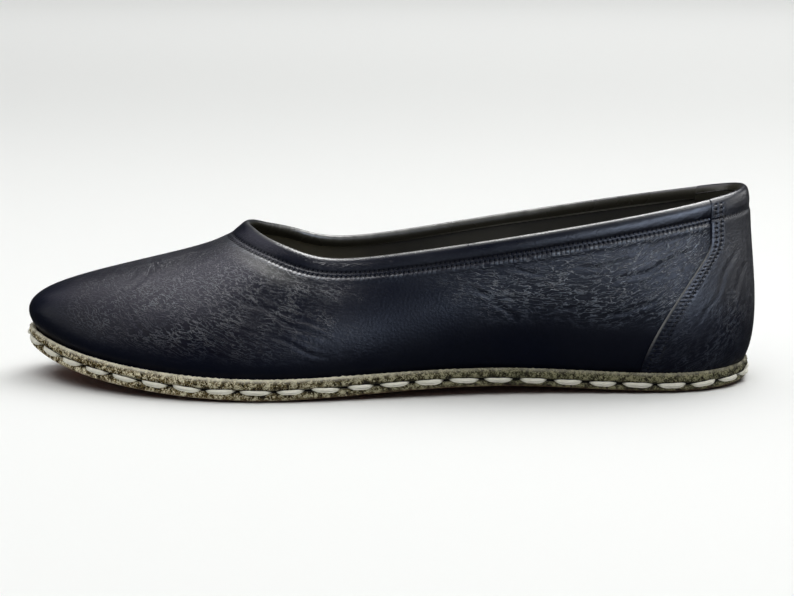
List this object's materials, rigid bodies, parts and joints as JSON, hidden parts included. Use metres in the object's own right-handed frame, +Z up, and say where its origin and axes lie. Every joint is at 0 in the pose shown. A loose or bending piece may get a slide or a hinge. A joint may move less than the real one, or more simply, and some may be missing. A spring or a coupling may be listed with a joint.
{
  "type": "flat shoe",
  "caption": "Low slip-on flat for the left foot: dark navy leather upper with a rolled collar and sewn heel panel on a thin leather sole with a raw-edged, hand-sewn band.",
  "frame": {"origin": "middle of the shoe's box in plan, on the floor plane that its heel and ball rest on", "axes": "+X to the toe, +Y to the outer (left) side, +Z up"},
  "size_m": [0.252, 0.09, 0.0668],
  "materials": {
    "navy_leather": "soft sheen, fine creases",
    "raw_leather": "matt, fibrous raw edge",
    "sole_leather": "matt, lightly burnished",
    "lining_leather": "matt",
    "waxed_thread": "matt, waxed"
  },
  "bodies": {
    "root": {"outsole": "sole_leather", "rand": "raw_leather", "insole": "lining_leather", "upper": "navy_leather", "heel_counter": "navy_leather"}
  },
  "joints": []
}
